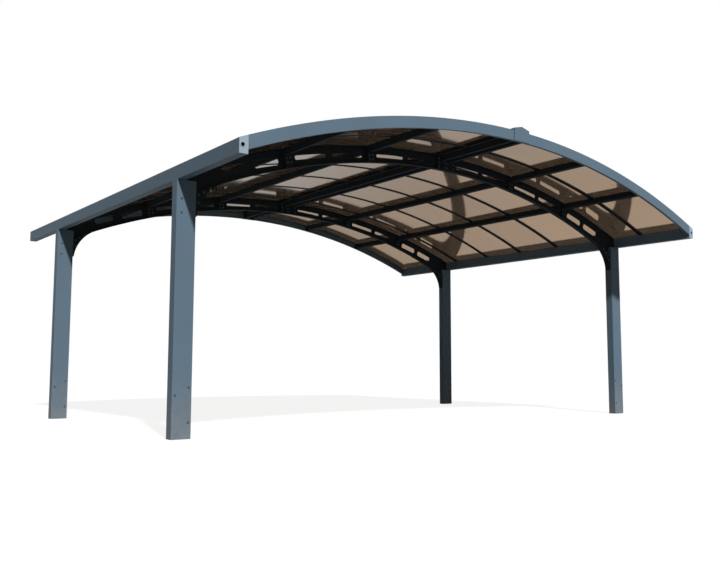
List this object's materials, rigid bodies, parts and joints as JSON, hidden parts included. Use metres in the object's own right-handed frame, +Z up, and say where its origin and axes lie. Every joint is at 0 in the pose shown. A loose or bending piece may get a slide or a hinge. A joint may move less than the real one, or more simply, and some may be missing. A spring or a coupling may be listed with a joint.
{
  "type": "arched double carport",
  "caption": "Open double carport: slotted arch trusses on square-edged posts carry purlins, curved fascias, gutters and a bronze sheet barrel roof.",
  "frame": {"origin": "on the ground, in the middle of the four posts", "axes": "+X along the span to the right, +Y from front to back, +Z up"},
  "size_m": [5.844, 4.98, 2.746],
  "materials": {
    "outer_paint": "slate blue-grey powder coat, satin",
    "frame_paint": "slate blue-grey powder coat, satin",
    "bar_finish": "dark bronze powder coat",
    "bronze_sheet": "bronze translucent multiwall polycarbonate, glossy",
    "pale_cap": "pale grey moulded plastic",
    "zinc_steel": "galvanised steel"
  },
  "bodies": {
    "root": {"post_front_left": "outer_paint", "post_front_right": "outer_paint", "post_back_left": "outer_paint", "post_back_right": "outer_paint", "post_feet": "zinc_steel", "truss_front_left": "frame_paint", "truss_front_right": "frame_paint", "truss_back_left": "frame_paint", "truss_back_right": "frame_paint", "truss_splices": "frame_paint", "knee_front_left": "frame_paint", "knee_front_right": "frame_paint", "knee_back_left": "frame_paint", "knee_back_right": "frame_paint", "purlin_left_lower": "frame_paint", "purlin_left_upper": "frame_paint", "purlin_right_lower": "frame_paint", "purlin_right_upper": "frame_paint", "ridge_purlin_left": "frame_paint", "ridge_purlin_right": "frame_paint", "purlin_brackets_front": "frame_paint", "purlin_brackets_back": "frame_paint", "gutter_left": "outer_paint", "gutter_right": "outer_paint", "gutter_end_caps": "pale_cap", "fascia_front_left": "outer_paint", "fascia_front_right": "outer_paint", "fascia_back_left": "outer_paint", "fascia_back_right": "outer_paint", "ridge_cover": "outer_paint", "ridge_cap_front": "outer_paint", "ridge_cap_back": "outer_paint", "glazing_bars_left": "bar_finish", "glazing_bars_right": "bar_finish", "roof_sheets_left": "bronze_sheet", "roof_sheets_right": "bronze_sheet"}
  },
  "joints": []
}
